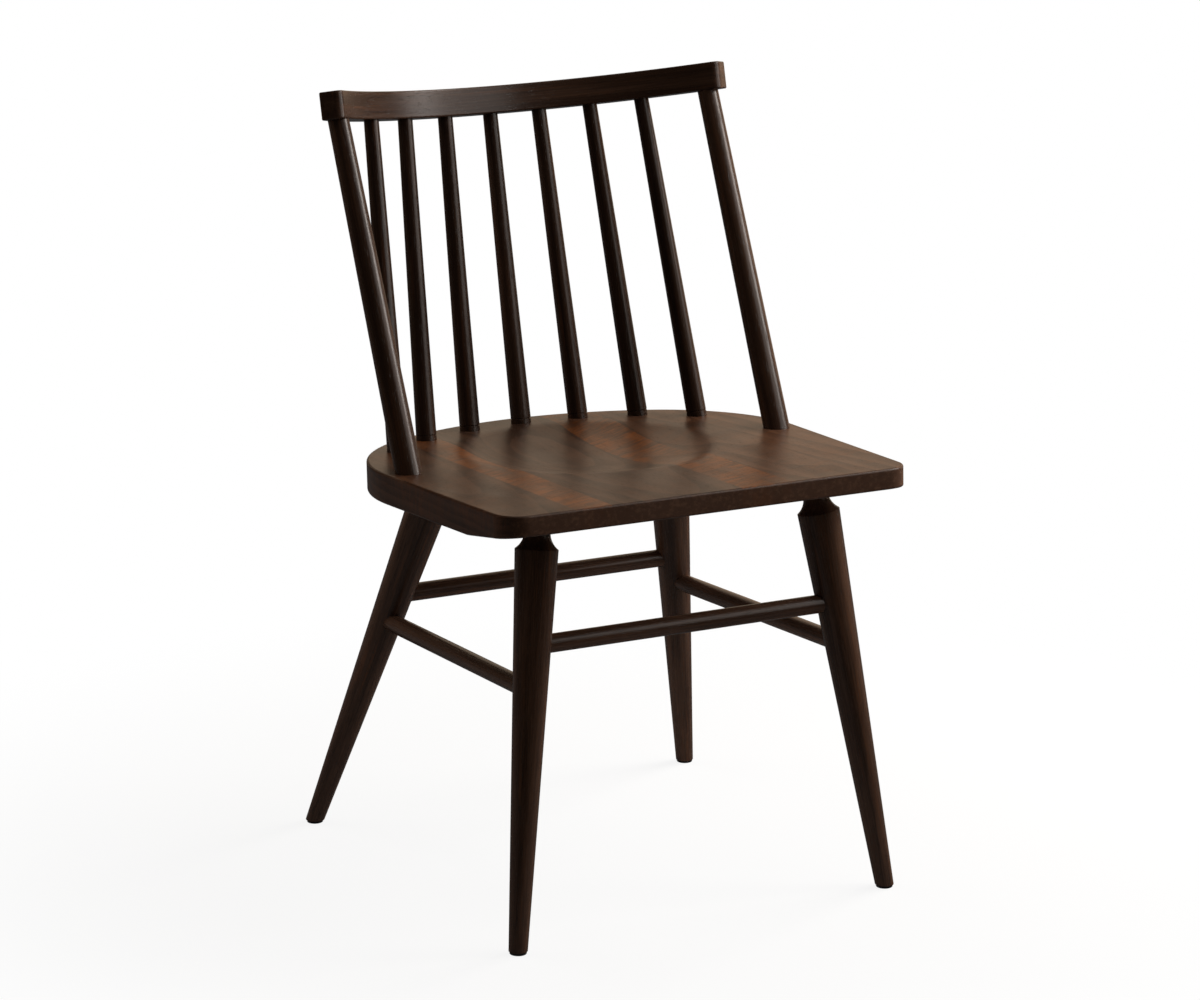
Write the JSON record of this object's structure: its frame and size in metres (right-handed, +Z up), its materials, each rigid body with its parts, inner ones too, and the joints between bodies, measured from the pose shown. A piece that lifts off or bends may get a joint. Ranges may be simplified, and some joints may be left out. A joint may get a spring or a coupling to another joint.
{
  "type": "side chair",
  "caption": "Stick-back wooden side chair with a scooped plank seat, splayed turned legs joined by stretchers, and a bent crest rail.",
  "frame": {"origin": "on the floor, under the centre of the chair's outline box", "axes": "+Z up, -Y the way the chair faces, +X to the right seen from the front"},
  "size_m": [0.484, 0.5236, 0.8177],
  "materials": {
    "seat_wood": "dark stain under satin lacquer",
    "frame_wood": "dark stain under satin lacquer",
    "glide_plastic": "hard black plastic",
    "nail_steel": "bright steel"
  },
  "bodies": {
    "root": {"seat_board_1": "seat_wood", "seat_board_2": "seat_wood", "seat_board_3": "seat_wood", "seat_board_4": "seat_wood", "seat_board_5": "seat_wood", "seat_board_6": "seat_wood", "leg_front_left": "frame_wood", "leg_front_right": "frame_wood", "leg_back_left": "frame_wood", "leg_back_right": "frame_wood", "stretcher_front": "frame_wood", "stretcher_back": "frame_wood", "stretcher_left": "frame_wood", "stretcher_right": "frame_wood", "spindle_1": "frame_wood", "spindle_2": "frame_wood", "spindle_3": "frame_wood", "spindle_4": "frame_wood", "spindle_5": "frame_wood", "spindle_6": "frame_wood", "spindle_7": "frame_wood", "post_left": "frame_wood", "post_right": "frame_wood", "crest_rail": "frame_wood", "glide_front_left": "glide_plastic", "glide_front_right": "glide_plastic", "glide_back_left": "glide_plastic", "glide_back_right": "glide_plastic", "glide_nails": "nail_steel"}
  },
  "joints": []
}
